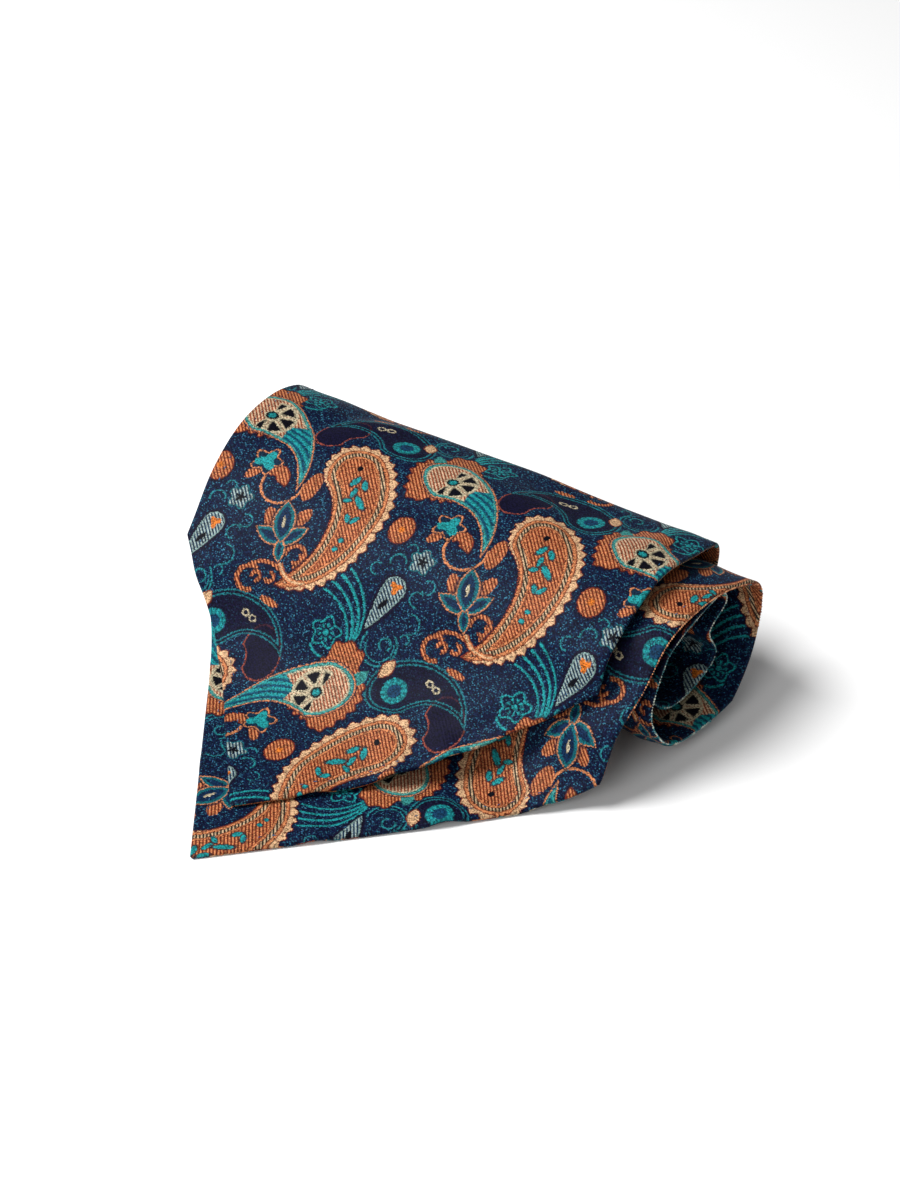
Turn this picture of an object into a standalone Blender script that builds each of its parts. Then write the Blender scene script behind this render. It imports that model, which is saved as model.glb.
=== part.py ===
"""Silk cravat, folded in half, rolled up from its neckband and laid on a table.

The cut is a long strip: two wide blades with pointed ends and a narrow neckband between them.
Folded at the middle of the neckband, one blade lies on the other. The pair is rolled up from
that fold, so the blades come over the top of the roll and down its front, with the tips free.

Frame: X runs along the roll, with its open, stepped end at +X. The tips point to -Y, and Z is
up from the table at z = 0. The origin is below the middle of the whole.
"""
import math
from collections import namedtuple

import bpy
import numpy as np

MM = 0.001

# Cloth
WALL = 1.5                # two layers of jacquard silk with an interlining
SEAM_GAP = 0.3            # between pieces that meet at a seam
LAY_GAP = 0.4             # between the blades where one lies on the other
SILK_ROUGHNESS = 0.45
NAVY = (0.020, 0.034, 0.095, 1.0)
TEAL = (0.020, 0.220, 0.235, 1.0)
RUST = (0.460, 0.130, 0.060, 1.0)
PEACH = (0.620, 0.340, 0.180, 1.0)

# Heights of the middle of a wall that lies on the table, and of one that lies on another
ON_TABLE = WALL / 2
ON_CLOTH = ON_TABLE + WALL + LAY_GAP

# The roll's length along X, between its left and right section
LEFT_SECTION_X = -80.0
RIGHT_SECTION_X = 95.0

# Mesh density
SMOOTH_STEPS = 12         # points that a curve gets between two stations
ROW_STEP = 5.0            # along the strip
END_ROW = 0.8             # a short row at each end, so that both ends at a seam are parallel
COLUMNS = 10              # across the strip

# A station is where the middle of the wall passes, at the left and at the right section
Station = namedtuple("Station", "name y_left z_left y_right z_right")

TOP_STATIONS = [
    Station("flat start", -150, ON_CLOTH, -150, ON_CLOTH),
    Station("tip", -115, ON_CLOTH, -115, ON_CLOTH),
    Station("lying", -88, ON_CLOTH, -88, ON_CLOTH + 1),
    Station("ramp foot", -68, 3.4, -69, 12),
    Station("ramp", -58, 13, -52, 17),
    Station("front, low", -48, 29, -35, 30),
    Station("front", -36, 39, -28, 42),
    Station("front shoulder", -21, 50, -14, 51),
    Station("ridge", 2, 58.5, 5, 56),
    Station("back shoulder", 25, 57, 27, 51.5),
    Station("back", 42, 47, 46, 44.5),
    Station("back, low", 41, 25, 43, 22),
    Station("back foot", 31, 7, 30, 7),
    Station("under the roll", 18, ON_TABLE, 16, ON_TABLE),
    Station("end under the roll", 2, ON_TABLE, 0, ON_TABLE),
]

UNDER_STATIONS = [
    Station("flat start", -190, ON_TABLE, -190, ON_TABLE),
    Station("tip", -150, ON_TABLE, -150, ON_TABLE),
    Station("lying", -90, ON_TABLE, -90, ON_TABLE),
    Station("ramp foot", -66, ON_TABLE, -60, 2),
    Station("ramp", -50, 6, -47, 10),
    Station("front, low", -39, 18, -40, 22),
    Station("front", -31, 31, -26, 33),
    Station("front shoulder", -17, 45, -13, 45.5),
    Station("ridge", 2, 53, 6, 49),
    Station("back shoulder", 22, 52, 25, 46.5),
    Station("back", 35, 42, 42, 38),
    Station("back, low", 36, 24, 37, 21),
    Station("back foot", 27, 8, 26, 11),
    Station("bottom, back", 13, 4.6, 11, 6),
    Station("bottom", -3, 3.2, -2, 5),
    Station("bottom, front", -14, 4, -13, 6.5),
    Station("near wall, low", -22, 11, -20, 13),
    Station("near wall", -22.5, 23, -23, 24),
    Station("near wall, high", -15, 36, -8, 38),
    Station("inner ridge", 0, 45, 11, 43.5),
    Station("inner back", 14, 43.5, 25, 43),
    Station("inner far wall, high", 22.5, 37.5, 27, 39),
    Station("inner far wall", 18.5, 29, 17, 32.5),
    Station("wave", 20, 19, 22.5, 20),
    Station("inner bottom", 8, 10, 6, 11.5),
    Station("inner front", -8, 10, -6, 13.5),
    Station("inner end", -13, 18, -10, 22),
    Station("band front", -11, 28, -8, 31),
    Station("band top", -2, 34, 1, 36),
    Station("band back", 8, 30, 9, 31),
    Station("band, low", 9, 20, 9, 22),
    Station("band bottom", 1, 16, 2, 19),
    Station("fold of the band", -4, 22, -2, 25),
]

# A row of the flat cut: how far from the tip, and the width to each side of the middle line
CutRow = namedtuple("CutRow", "along left right")

TOP_CUT = [
    CutRow(0, 0.6, 0.6),
    CutRow(93, 77, 86),
    CutRow(180, 86, 85),
    CutRow(255, 78, 81),
]
UNDER_CUT = [
    CutRow(0, 0.6, 0.6),
    CutRow(60, 51, 47),
    CutRow(108, 91, 81),
    CutRow(200, 80, 76),
    CutRow(260, 74, 78),
    CutRow(330, 62, 60),
    CutRow(400, 48, 54),
    CutRow(425, 42, 49),
    CutRow(450, 29, 30),
    CutRow(500, 28, 28),
]

# A strip follows its stations, with its tip at tip_x and tip_run, turned by skew on the table
Strip = namedtuple("Strip", "stations cut tip_x tip_run skew")
TOP_STRIP = Strip(TOP_STATIONS, TOP_CUT, 5.0, 31.0, math.radians(-0.7))
UNDER_STRIP = Strip(UNDER_STATIONS, UNDER_CUT, 9.0, 45.0, math.radians(5.6))

# A piece of a strip, from start to end along it
Piece = namedtuple("Piece", "name strip start end colour")
TOP_END = 254.0
BLADE_SEAM = 270.0
SHOULDER_SEAM = 397.0
BAND_END = 484.0
PIECES = [
    Piece("top_blade", TOP_STRIP, 0.0, TOP_END, PEACH),
    Piece("under_blade", UNDER_STRIP, 0.0, BLADE_SEAM, NAVY),
    Piece("shoulder_turn", UNDER_STRIP, BLADE_SEAM + SEAM_GAP, SHOULDER_SEAM, TEAL),
    Piece("neckband_turn", UNDER_STRIP, SHOULDER_SEAM + SEAM_GAP, BAND_END, RUST),
]


def smooth_curve(points, steps):
    """Centripetal Catmull-Rom curve through points, with steps points a span."""
    points = np.asarray(points, float)
    first = 2 * points[0] - points[1]
    last = 2 * points[-1] - points[-2]
    points = np.vstack([first, points, last])
    knots = np.sqrt(np.linalg.norm(np.diff(points, axis=0), axis=1))
    knots = np.concatenate([[0.0], np.cumsum(knots)])[:, None, None]
    a, b, c, d = (points[i:len(points) - 3 + i, None, :] for i in range(4))
    t0, t1, t2, t3 = (knots[i:len(knots) - 3 + i] for i in range(4))
    t = t1 + (t2 - t1) * np.linspace(0.0, 1.0, steps, endpoint=False)[None, :, None]
    ab = ((t1 - t) * a + (t - t0) * b) / (t1 - t0)
    bc = ((t2 - t) * b + (t - t1) * c) / (t2 - t1)
    cd = ((t3 - t) * c + (t - t2) * d) / (t3 - t2)
    abc = ((t2 - t) * ab + (t - t0) * bc) / (t2 - t0)
    bcd = ((t3 - t) * bc + (t - t1) * cd) / (t3 - t1)
    curve = ((t2 - t) * abc + (t - t1) * bcd) / (t2 - t1)
    return np.vstack([curve.reshape(-1, 2), points[-2]])


def section(strip, x):
    """The wall's middle line in the section at x: lengths run along it, and its points."""
    share = (x - LEFT_SECTION_X) / (RIGHT_SECTION_X - LEFT_SECTION_X)
    points = [(s.y_left + share * (s.y_right - s.y_left), s.z_left + share * (s.z_right - s.z_left))
              for s in strip.stations]
    curve = smooth_curve(points, SMOOTH_STEPS)
    curve[:, 1] = np.maximum(curve[:, 1], ON_TABLE)
    steps = np.linalg.norm(np.diff(curve, axis=0), axis=1)
    return np.concatenate([[0.0], np.cumsum(steps)]), curve


def place(strip, across, along):
    """The point of the folded strip, in millimetres, for a point of its flat cut."""
    x = strip.tip_x + along * math.sin(strip.skew) + across * math.cos(strip.skew)
    run = strip.tip_run + along * math.cos(strip.skew) - across * math.sin(strip.skew)
    lengths, curve = section(strip, x)
    return x, np.interp(run, lengths, curve[:, 0]), np.interp(run, lengths, curve[:, 1])


def half_widths(strip, along):
    """The cut's width to the left and right of the middle line."""
    stops = [row.along for row in strip.cut]
    left = np.interp(along, stops, [row.left for row in strip.cut])
    right = np.interp(along, stops, [row.right for row in strip.cut])
    return left, right


def strip_rows(piece):
    """Stops along the piece: even steps, with the corners of the cut among them."""
    corners = [row.along for row in piece.strip.cut if piece.start < row.along < piece.end]
    stops = [piece.start, piece.start + END_ROW] + corners + [piece.end - END_ROW, piece.end]
    rows = [piece.start]
    for low, high in zip(stops, stops[1:]):
        count = max(1, round((high - low) / ROW_STEP))
        rows.extend(np.linspace(low, high, count + 1)[1:])
    return rows


def middle_surface(piece):
    """Open grid of the piece's middle surface, facing out of the roll."""
    verts = []
    for along in strip_rows(piece):
        left, right = half_widths(piece.strip, along)
        for across in np.linspace(-left, right, COLUMNS + 1):
            x, y, z = place(piece.strip, across, along)
            verts.append((x * MM, y * MM, z * MM))
    wide = COLUMNS + 1
    faces = []
    for row in range(len(verts) // wide - 1):
        for column in range(COLUMNS):
            corner = row * wide + column
            faces.append((corner, corner + 1, corner + 1 + wide, corner + wide))
    return verts, faces


def silk(name, colour):
    """The piece's own woven silk finish."""
    material = bpy.data.materials.new(name + "_silk")
    material.use_nodes = True
    shader = material.node_tree.nodes["Principled BSDF"]
    shader.inputs["Base Color"].default_value = colour
    shader.inputs["Roughness"].default_value = SILK_ROUGHNESS
    shader.inputs["Metallic"].default_value = 0.0
    return material


def make_piece(piece, collection):
    """A wall of even thickness on the piece's middle surface."""
    mesh = bpy.data.meshes.new(piece.name)
    verts, faces = middle_surface(piece)
    mesh.from_pydata(verts, [], faces)
    mesh.materials.append(silk(piece.name, piece.colour))
    mesh.shade_smooth()
    cloth = bpy.data.objects.new(piece.name, mesh)
    collection.objects.link(cloth)
    wall = cloth.modifiers.new("Wall", "SOLIDIFY")
    wall.thickness = WALL * MM
    wall.offset = 0.0
    return cloth


def set_origin_below_middle(objects):
    """Move the meshes so that the origin is on the table, below the middle of the whole."""
    bpy.context.view_layer.update()
    graph = bpy.context.evaluated_depsgraph_get()
    corners = []
    for item in objects:
        mesh = item.evaluated_get(graph).to_mesh()
        points = np.array([vertex.co[:] for vertex in mesh.vertices])
        corners.extend([points.min(axis=0), points.max(axis=0)])
    low = np.min(corners, axis=0)
    high = np.max(corners, axis=0)
    middle = (low + high) / 2
    for item in objects:
        for vertex in item.data.vertices:
            vertex.co.x -= middle[0]
            vertex.co.y -= middle[1]
            vertex.co.z -= low[2]


def build():
    """Make the whole cravat."""
    for item in list(bpy.data.objects):
        bpy.data.objects.remove(item, do_unlink=True)
    collection = bpy.data.collections.new("silk_cravat")
    bpy.context.scene.collection.children.link(collection)
    pieces = [make_piece(piece, collection) for piece in PIECES]
    set_origin_below_middle(pieces)


build()
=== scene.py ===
"""Looks of the silk cravat: folded in half, rolled up from its neckband and laid on a table."""
import math
from collections import namedtuple

import bpy
import numpy as np
from mathutils import Matrix, Vector


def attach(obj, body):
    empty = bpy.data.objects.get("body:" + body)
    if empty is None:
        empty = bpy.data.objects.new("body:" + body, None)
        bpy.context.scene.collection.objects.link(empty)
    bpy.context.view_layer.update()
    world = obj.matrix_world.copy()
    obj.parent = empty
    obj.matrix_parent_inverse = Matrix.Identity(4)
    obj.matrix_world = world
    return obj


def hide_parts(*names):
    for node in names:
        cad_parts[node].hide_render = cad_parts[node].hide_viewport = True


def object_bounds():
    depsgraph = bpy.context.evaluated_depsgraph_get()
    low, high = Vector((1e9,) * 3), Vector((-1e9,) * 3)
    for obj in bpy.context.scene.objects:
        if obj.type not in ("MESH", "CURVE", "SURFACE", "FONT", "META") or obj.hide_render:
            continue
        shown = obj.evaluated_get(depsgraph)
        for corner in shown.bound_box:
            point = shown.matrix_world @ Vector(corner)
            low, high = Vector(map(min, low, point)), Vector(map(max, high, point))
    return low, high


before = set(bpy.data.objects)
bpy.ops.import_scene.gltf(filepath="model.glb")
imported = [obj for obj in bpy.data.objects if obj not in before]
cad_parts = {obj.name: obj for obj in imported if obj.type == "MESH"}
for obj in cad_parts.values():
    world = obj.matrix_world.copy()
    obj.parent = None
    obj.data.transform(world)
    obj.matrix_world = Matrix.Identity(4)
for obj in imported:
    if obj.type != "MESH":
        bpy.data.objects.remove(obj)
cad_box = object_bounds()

MM = 0.001

# Cloth, in millimetres
WALL = 1.5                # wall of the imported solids
CLOTH = 1.3               # the cloth as it shows: two layers and an interlining
HEM = 1.7                 # the turned edge, where four layers lie on each other
HEM_WIDTH = 3.2           # over which the hem's fullness dies away
HEM_ROUNDING = [0, 25, 50, 70, 90]  # degrees round the edge of a hem
STEP = 1.2                # mesh step on the cloth
END_STEP = 0.6            # the same beside a plain end
POINT_LEAN = 0.68         # about how far from the pointed hem a millimetre along the cut is
NO_HEM = 1e3              # distance from the hem where an end has none
SEAM = 0.15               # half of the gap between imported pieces, where the cloth goes on
LAY_GAP = 0.4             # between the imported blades
LOWEST = 0.03             # above the table

# Stitches
PICK_INSET = 4.2          # from the edge to the row of pick stitches
POINT_INSET = 1.36        # about how far across the cut a millimetre from the pointed hem is
TIP_INSETS = 4.0          # from the tip to the row's start, in insets
STITCH_REST = 0.66        # least height of a stitch's middle, in widths of it
WARM_EDGE = (132.0, 232.0)  # stretch of the under blade whose edge is overcast
PICK_STITCH = {"Spacing": 4.6 * MM, "Stitch Length": 1.5 * MM, "Stitch Width": 0.34 * MM,
               "Unevenness": 0.16, "Seed": 5}
OVERCAST_STITCH = {"Spacing": 0.95 * MM, "Stitch Length": 0.8 * MM, "Stitch Width": 0.56 * MM,
                   "Unevenness": 0.3, "Seed": 8}

ON_TABLE = WALL / 2
ON_CLOTH = ON_TABLE + WALL + LAY_GAP
LEFT_SECTION_X = -80.0
RIGHT_SECTION_X = 95.0
SECTION_STEP = 5.0
SMOOTH_STEPS = 24

# Pattern and weave; lengths in millimetres
REPEAT_WIDTH = 74.3       # of the pattern, across the cut
ROW_HEIGHT = 89.2         # from a row of motifs to the next, which is its mirror image
MIRROR_LINE = -3.0
RIB_PITCH = 1.12
RIB_LEAN = math.radians(42)
THREAD = 0.44             # width of a thread
THREAD_RUN = 0.8          # its step along the cut, in widths
RAGGED = 0.52             # how far a thread may carry a colour past its edge
THREAD_DARK = 0.14        # shade of the darkest thread
THREAD_SPREAD = 0.66      # from there to the lightest
OUTLINE_SHADE = 0.85               # strength of the dark outline of a motif, which is also painted shade beside its raised edge
ROUGHEST = 0.56           # finish of black silk
LIGHT_SHINE = 0.25        # how much smoother white silk is
RELIEF = 0.06             # height of the weave
TWIST_RELIEF = 0.04       # height of a thread's twist
TWIST_SCALE = 900.0

# Dyes
NAVY = "#10163a"
NIGHT = "#15112f"
INK = "#0a0a18"
TEAL = "#15727d"
SEA = "#24a2a6"
MIST = "#8fb0ac"
ORANGE = "#e4915f"
RUST = "#81301d"
PEACH = "#efc093"
CREAM = "#d8caa8"
OLIVE = "#2f3029"
AMBER = "#ef8330"
GROUND = "#0d1336"
HEATHER = "#12355a"
HEATHER_LIGHT = "#3f86a0"
STRAW = "#e2bd94"
SLATE = "#1a3856"
PALE_MIST = "#aabfbb"
BRICK = "#a4553a"
SHELL_PINK = "#ecc6a2"
PLUM = "#4a3034"
JADE = "#3f9c98"
PALE_JADE = "#56b0a6"
DULL_JADE = "#3d7f7c"
PETROL = "#12506e"
DROP_LINE = "#23818c"
EYE_BLUE = "#154468"
LEAF_RED = "#a3503f"
CLOVER_BLUE = "#10304a"
LILY_BLUE = "#0f2f54"
SCROLL_TEAL = "#2a929a"
SHEEN_BLUE = "#8fb4e8"
# Sewing threads: two dyes, and how quickly one gives way to the other
HEM_THREAD = ("#16224e", "#2c5f86", 500.0)
# pale overcast thread for the coil's inner rims, whose light colour is also a painted highlight of the lit
# fold edges
EDGE_THREAD_AND_HIGHLIGHT = ("#3d8088", "#cdd6c8", 420.0)
WARM_THREAD = ("#7c3a26", "#dc9a6c", 380.0)

# A station is where the middle of the cloth passes, at the left and at the right section
Station = namedtuple("Station", "name y_left z_left y_right z_right")

TOP_STATIONS = [
    Station("flat start", -150, ON_CLOTH, -150, ON_CLOTH),
    Station("tip", -115, ON_CLOTH, -115, ON_CLOTH),
    Station("lying", -88, ON_CLOTH, -88, ON_CLOTH + 1),
    Station("ramp foot", -68, 3.4, -69, 12),
    Station("ramp", -58, 13, -52, 17),
    Station("front, low", -48, 29, -35, 30),
    Station("front", -36, 39, -28, 42),
    Station("front shoulder", -21, 50, -14, 51),
    Station("ridge", 2, 58.5, 5, 56),
    Station("back shoulder", 25, 57, 27, 51.5),
    Station("back", 42, 47, 46, 44.5),
    Station("back, low", 41, 25, 43, 22),
    Station("back foot", 31, 7, 30, 7),
    Station("under the roll", 18, ON_TABLE, 16, ON_TABLE),
    Station("end under the roll", 2, ON_TABLE, 0, ON_TABLE),
]

UNDER_STATIONS = [
    Station("flat start", -190, ON_TABLE, -190, ON_TABLE),
    Station("tip", -150, ON_TABLE, -150, ON_TABLE),
    Station("lying", -90, ON_TABLE, -90, ON_TABLE),
    Station("ramp foot", -66, ON_TABLE, -60, 2),
    Station("ramp", -50, 6, -47, 10),
    Station("front, low", -39, 18, -40, 22),
    Station("front", -31, 31, -26, 33),
    Station("front shoulder", -17, 45, -13, 45.5),
    Station("ridge", 2, 53, 6, 49),
    Station("back shoulder", 22, 52, 25, 46.5),
    Station("back", 35, 42, 42, 38),
    Station("back, low", 36, 24, 37, 21),
    Station("back foot", 27, 8, 26, 11),
    Station("bottom, back", 13, 4.6, 11, 6),
    Station("bottom", -3, 3.2, -2, 5),
    Station("bottom, front", -14, 4, -13, 6.5),
    Station("near wall, low", -22, 11, -20, 13),
    Station("near wall", -22.5, 23, -23, 24),
    Station("near wall, high", -15, 36, -8, 38),
    Station("inner ridge", 0, 45, 11, 43.5),
    Station("inner back", 14, 43.5, 25, 43),
    Station("inner far wall, high", 22.5, 37.5, 27, 39),
    Station("inner far wall", 18.5, 29, 17, 32.5),
    Station("wave", 20, 19, 22.5, 20),
    Station("inner bottom", 8, 10, 6, 11.5),
    Station("inner front", -8, 10, -6, 13.5),
    Station("inner end", -13, 18, -10, 22),
    Station("band front", -11, 28, -8, 31),
    Station("band top", -2, 34, 1, 36),
    Station("band back", 8, 30, 9, 31),
    Station("band, low", 9, 20, 9, 22),
    Station("band bottom", 1, 16, 2, 19),
    Station("fold of the band", -4, 22, -2, 25),
]

# A row of the flat cut: how far from the tip, and the width to each side of the middle line
CutRow = namedtuple("CutRow", "along left right")

TOP_CUT = [
    CutRow(0, 0.6, 0.6),
    CutRow(93, 77, 86),
    CutRow(180, 86, 85),
    CutRow(255, 78, 81),
]
UNDER_CUT = [
    CutRow(0, 0.6, 0.6),
    CutRow(60, 51, 47),
    CutRow(108, 91, 81),
    CutRow(200, 80, 76),
    CutRow(260, 74, 78),
    CutRow(330, 62, 60),
    CutRow(400, 48, 54),
    CutRow(425, 42, 49),
    CutRow(450, 29, 30),
    CutRow(500, 28, 28),
]

# A strip follows its stations, with its tip at tip_x and tip_run, turned by skew on the table
Strip = namedtuple("Strip", "name stations cut tip_x tip_run skew")
TOP_STRIP = Strip("top", TOP_STATIONS, TOP_CUT, 5.0, 31.0, math.radians(-0.7))
UNDER_STRIP = Strip("under", UNDER_STATIONS, UNDER_CUT, 9.0, 45.0, math.radians(5.6))

# Where the pattern lies on a side of a strip: its own point at the cut's 0, 0, and which way
# it runs across and along
PatternPlace = namedtuple("PatternPlace", "origin turn")
PATTERN_PLACES = {
    "top": (PatternPlace(np.array([0, 0]), np.array([1, 1])),
            PatternPlace(np.array([30, 40]), np.array([-1, 1]))),
    "under": (PatternPlace(np.array([96, 223]), np.array([-1, -1])),
              PatternPlace(np.array([12, 60]), np.array([1, -1]))),
}

# A shell of cloth: its strip and stretch, where its pointed hem ends (0 for none), and whether
# its start and its end are turned hems
Shell = namedtuple("Shell", "name strip start end corner hem_start hem_end")
SHELLS = [
    Shell("top_blade", TOP_STRIP, 0.0, 254.0, 93.0, True, True),
    Shell("under_blade", UNDER_STRIP, 0.0, 270.0 + SEAM, 108.0, True, False),
    Shell("shoulder_turn", UNDER_STRIP, 270.0 + SEAM, 397.0 + SEAM, 0.0, False, False),
    Shell("neckband_turn", UNDER_STRIP, 397.0 + SEAM, 484.0, 0.0, False, True),
]


def smooth_curve(points, steps):
    """Centripetal Catmull-Rom curve through points, with steps points a span."""
    points = np.asarray(points, float)
    first = 2 * points[0] - points[1]
    last = 2 * points[-1] - points[-2]
    points = np.vstack([first, points, last])
    knots = np.sqrt(np.linalg.norm(np.diff(points, axis=0), axis=1))
    knots = np.concatenate([[0.0], np.cumsum(knots)])[:, None, None]
    a, b, c, d = (points[i:len(points) - 3 + i, None, :] for i in range(4))
    t0, t1, t2, t3 = (knots[i:len(knots) - 3 + i] for i in range(4))
    t = t1 + (t2 - t1) * np.linspace(0.0, 1.0, steps, endpoint=False)[None, :, None]
    ab = ((t1 - t) * a + (t - t0) * b) / (t1 - t0)
    bc = ((t2 - t) * b + (t - t1) * c) / (t2 - t1)
    cd = ((t3 - t) * c + (t - t2) * d) / (t3 - t2)
    abc = ((t2 - t) * ab + (t - t0) * bc) / (t2 - t0)
    bcd = ((t3 - t) * bc + (t - t1) * cd) / (t3 - t1)
    curve = ((t2 - t) * abc + (t - t1) * bcd) / (t2 - t1)
    return np.vstack([curve.reshape(-1, 2), points[-2]])


def section(strip, x):
    """The cloth's middle line in the section at x: lengths run along it, and its points."""
    share = (x - LEFT_SECTION_X) / (RIGHT_SECTION_X - LEFT_SECTION_X)
    points = [(s.y_left + share * (s.y_right - s.y_left), s.z_left + share * (s.z_right - s.z_left))
              for s in strip.stations]
    curve = smooth_curve(points, SMOOTH_STEPS)
    curve[:, 1] = np.maximum(curve[:, 1], ON_TABLE)
    steps = np.linalg.norm(np.diff(curve, axis=0), axis=1)
    return np.concatenate([[0.0], np.cumsum(steps)]), curve


def place(strip, across, along):
    """Points of the folded strip, in millimetres, for points of its flat cut."""
    x = strip.tip_x + along * math.sin(strip.skew) + across * math.cos(strip.skew)
    run = strip.tip_run + along * math.cos(strip.skew) - across * math.sin(strip.skew)
    first = math.floor(x.min() / SECTION_STEP)
    last = math.floor(x.max() / SECTION_STEP) + 1
    sections = [section(strip, number * SECTION_STEP) for number in range(first, last + 1)]
    y = np.zeros_like(x)
    z = np.zeros_like(x)
    for number, (low, high) in enumerate(zip(sections, sections[1:])):
        share = x / SECTION_STEP - (first + number)
        here = (share >= 0) & (share < 1)
        for (lengths, curve), weight in ((low, 1 - share[here]), (high, share[here])):
            y[here] += weight * np.interp(run[here], lengths, curve[:, 0])
            z[here] += weight * np.interp(run[here], lengths, curve[:, 1])
    return np.stack([x, y, z], axis=-1)


def facing(strip, across, along):
    """Unit normals of the folded strip, out of the roll."""
    reach = 0.6
    side = place(strip, across + reach, along) - place(strip, across - reach, along)
    ahead = place(strip, across, along + reach) - place(strip, across, along - reach)
    normal = np.cross(side, ahead)
    return normal / np.linalg.norm(normal, axis=-1, keepdims=True)


def half_widths(strip, along):
    """The cut's width to the left and right of the middle line."""
    stops = [row.along for row in strip.cut]
    left = np.interp(along, stops, [row.left for row in strip.cut])
    right = np.interp(along, stops, [row.right for row in strip.cut])
    return left, right


def stops_between(length, rounded_start, rounded_end):
    """Distances from the start of a stretch: close together where an edge is rounded."""
    radius = HEM / 2
    clear = 1.3 * radius
    turn = radius * (1 - np.cos(np.radians(HEM_ROUNDING)))
    middle = list(np.linspace(0, length, round(length / STEP) + 1))
    stops = [stop for stop in middle if clear < stop < length - clear]
    start = list(turn) if rounded_start else [0.0, END_STEP]
    end = list(length - turn[::-1]) if rounded_end else [length - END_STEP, length]
    return np.array(start + stops + end)


def cut_grid(shell):
    """The shell's flat cut as a grid: across, along, and how far each point is from an edge.

    Rows of a blade start as its pointed hem and straighten towards its far end."""
    tip_hem = shell.corner > 0
    wide = sum(half_widths(shell.strip, max(shell.corner, shell.start)))
    columns = 2 * stops_between(wide, True, True) / wide - 1
    rows = stops_between(shell.end - shell.start, shell.hem_start, shell.hem_end)
    share = (rows / (shell.end - shell.start))[:, None]
    edge_along = shell.start + rows[:, None]
    if tip_hem:
        edge_along = shell.corner * (1 - share) + shell.end * share
    left, right = half_widths(shell.strip, edge_along)
    across = np.where(columns < 0, columns * left, columns * right)
    if tip_hem:
        hem_left, hem_right = half_widths(shell.strip, shell.corner)
        on_hem = np.where(columns < 0, -columns * hem_left, columns * hem_right)
        points = [row for row in shell.strip.cut if row.along <= shell.corner]
        alongs = [row.along for row in points]
        left_hem = np.interp(on_hem, [row.left for row in points], alongs)
        right_hem = np.interp(on_hem, [row.right for row in points], alongs)
        hem = np.where(columns < 0, left_hem, right_hem)[None, :]
        along = hem * (1 - share) + shell.end * share
        hem_lean = POINT_LEAN
    else:
        along = shell.start + rows[:, None] + 0 * columns[None, :]
        hem = shell.start + 0 * along
        hem_lean = 1.0
    side_gap = np.minimum(across + left, right - across)
    start_gap = (along - hem) * hem_lean if shell.hem_start else np.full_like(along, NO_HEM)
    end_gap = shell.end - along if shell.hem_end else np.full_like(along, NO_HEM)
    return across, along, np.minimum(np.minimum(side_gap, start_gap), end_gap)


# A soft fold of the cloth: where its middle is on the flat cut, how it is turned, its half
# length and half width, and how far it stands out (below 0 for a trough)
Fold = namedtuple("Fold", "across along turn length width height")
TOP_FOLDS = [
    Fold(-79, 128, 84, 26, 9, 1.9), Fold(-60, 152, 62, 24, 7, -1.6), Fold(-38, 168, 20, 22, 6, 1.3),
    Fold(66, 120, 100, 30, 9, 1.4), Fold(48, 150, 128, 22, 7, -1.4), Fold(72, 158, 80, 20, 6, 1.6),
    Fold(2, 131, 8, 34, 7, -1.0), Fold(18, 178, 172, 26, 5, 1.0), Fold(-12, 96, 64, 30, 9, 1.3),
    Fold(30, 62, 45, 26, 7, 1.7), Fold(52, 74, 60, 14, 5, 1.3), Fold(-30, 58, 140, 20, 8, 1.2),
    Fold(10, 28, 50, 16, 6, 1.2), Fold(19, 20, 138, 13, 5, 1.2), Fold(36, 40, 130, 11, 5, 1.7),
    Fold(50, 54, 142, 12, 4, 1.0), Fold(64, 71, 133, 10, 6, 2.0), Fold(78, 86, 128, 9, 5, 1.3),
    Fold(-24, 30, 40, 12, 5, 1.3), Fold(-46, 56, 48, 11, 5, 1.6), Fold(-68, 80, 44, 12, 6, 1.2),
    Fold(-58, 92, 110, 14, 6, 1.4), Fold(80, 100, 70, 12, 6, 1.9),
    Fold(-66, 206, 84, 18, 7, 1.6), Fold(-30, 222, 20, 24, 6, -1.3), Fold(24, 214, 160, 26, 7, 1.2),
    Fold(64, 224, 96, 20, 8, 1.7), Fold(0, 243, 4, 30, 5, -0.7),
]
UNDER_FOLDS = [
    Fold(62, 104, 60, 24, 8, 1.7), Fold(74, 124, 78, 16, 6, 1.2), Fold(40, 62, 48, 22, 7, 1.3),
    Fold(-44, 70, 128, 18, 7, 1.1), Fold(24, 32, 142, 11, 5, 1.0), Fold(50, 66, 136, 10, 5, 1.5),
    Fold(70, 92, 130, 9, 5, 1.2), Fold(-30, 36, 44, 12, 5, 1.1), Fold(-62, 74, 50, 10, 5, 1.0),
    Fold(-78, 116, 96, 18, 7, 1.2), Fold(6, 20, 40, 14, 6, 0.9),
    Fold(70, 160, 84, 20, 7, 1.0), Fold(-66, 168, 88, 22, 7, 0.9), Fold(30, 176, 14, 26, 6, -0.8),
    Fold(-20, 200, 168, 24, 6, 0.7), Fold(62, 228, 70, 18, 6, 1.3), Fold(-58, 236, 106, 18, 6, 1.2),
    Fold(60, 292, 84, 16, 5, 1.0), Fold(-54, 306, 98, 18, 6, 1.1), Fold(48, 338, 60, 16, 5, -1.2),
    Fold(52, 372, 100, 14, 5, 1.0), Fold(-46, 384, 76, 16, 5, -0.9), Fold(40, 412, 80, 12, 4, 1.1),
    Fold(-38, 424, 96, 12, 4, 1.0),
]


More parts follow.
